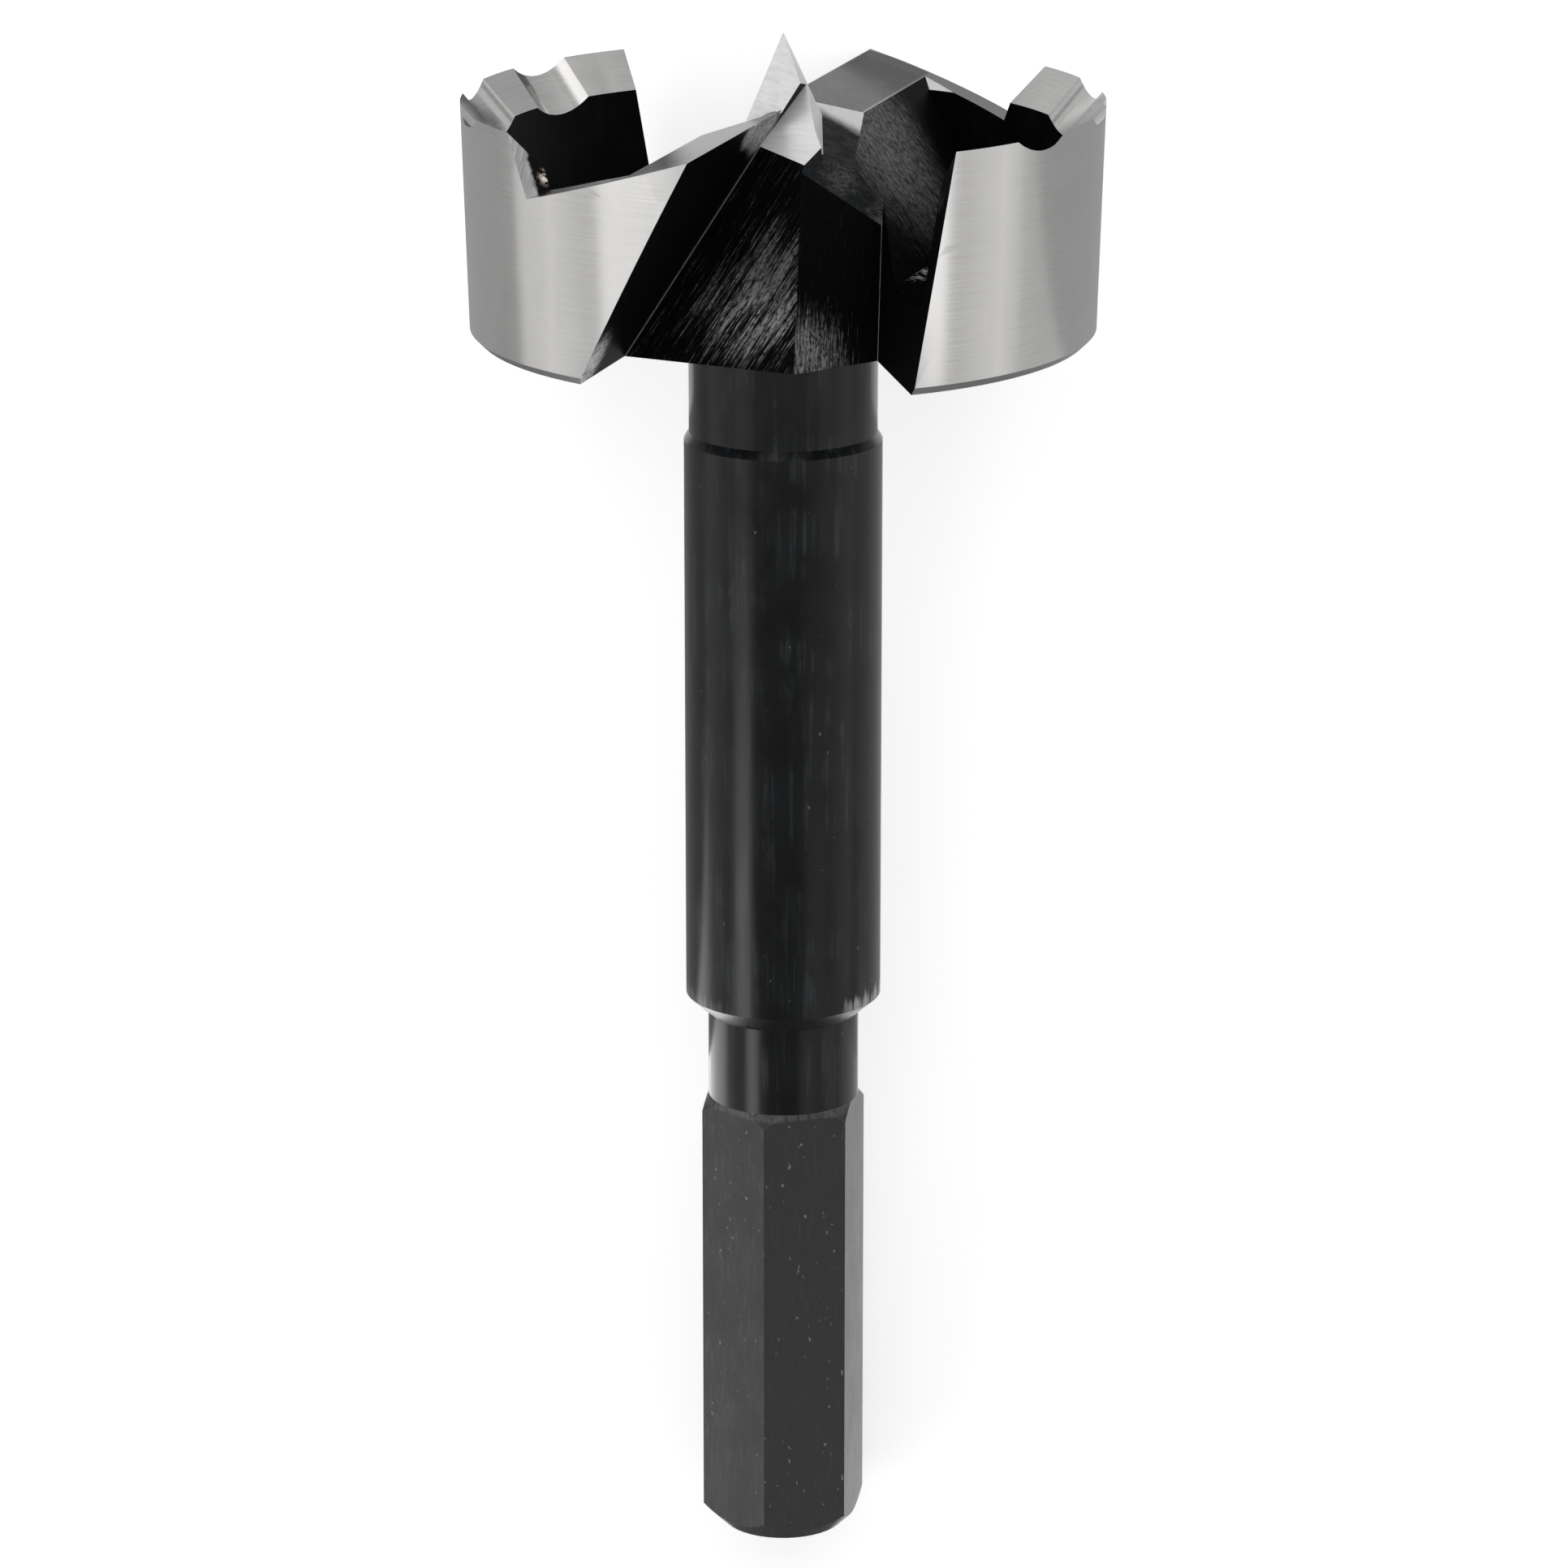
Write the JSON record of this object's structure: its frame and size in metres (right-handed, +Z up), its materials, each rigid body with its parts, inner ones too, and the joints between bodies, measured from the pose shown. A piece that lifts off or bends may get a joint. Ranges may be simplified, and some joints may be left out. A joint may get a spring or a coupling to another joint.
{
  "type": "forstner bit",
  "caption": "Forstner bit with a waved rim, cutting lips, a centre point and chip gullets on a round shank that ends in a hexagon, for boring flat-bottomed holes in wood.",
  "frame": {"origin": "middle of the bounding box on the surface that the bit lies on", "axes": "+Y along the bit towards its centre point, which rises 8.6 degrees; +Z up; +X across the head"},
  "size_m": [0.038, 0.0934, 0.0366],
  "materials": {
    "tool_steel": "ground bright on the rim, the point and the edges; black oxide on the shank, the gullets and the pockets"
  },
  "bodies": {
    "root": {"forstner_bit": "tool_steel"}
  },
  "joints": []
}
